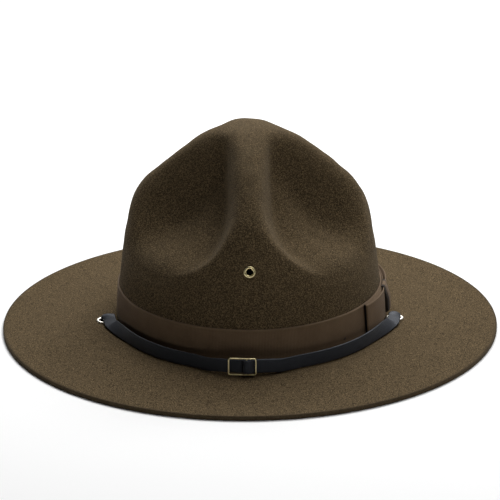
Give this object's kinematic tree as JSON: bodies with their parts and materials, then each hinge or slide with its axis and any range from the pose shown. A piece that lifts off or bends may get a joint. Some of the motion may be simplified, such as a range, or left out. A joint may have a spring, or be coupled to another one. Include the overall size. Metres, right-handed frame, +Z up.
{
  "type": "campaign hat",
  "caption": "Felt campaign hat with a four-dent peaked crown, flat round brim, ribbon band with a flat side bow, and a buckled leather chin strap passing down through brim eyelets.",
  "frame": {"origin": "middle of the flat underside that the brim rests on, below the middle of the crown", "axes": "+Z up through the crown, -Y towards the front of the hat, +X towards the wearer's left, where the bow is"},
  "size_m": [0.329, 0.353, 0.1375],
  "materials": {
    "felt": "olive brown fur felt, fine mottled nap, crisp cut edge",
    "ribbon": "dark brown grosgrain, matt, with fine upright ribs",
    "leather": "smooth blue-black leather, soft sheen",
    "brass": "polished brass wire and eyelet",
    "pale_brass": "pale polished brass"
  },
  "bodies": {
    "root": {"felt_body": "felt", "crown_eyelet": "brass", "brim_eyelet_left": "pale_brass", "brim_eyelet_right": "pale_brass", "ribbon_band": "ribbon", "bow_front_loop": "ribbon", "bow_rear_loop": "ribbon", "bow_knot": "ribbon", "chin_strap": "leather", "buckle": "brass"}
  },
  "joints": []
}
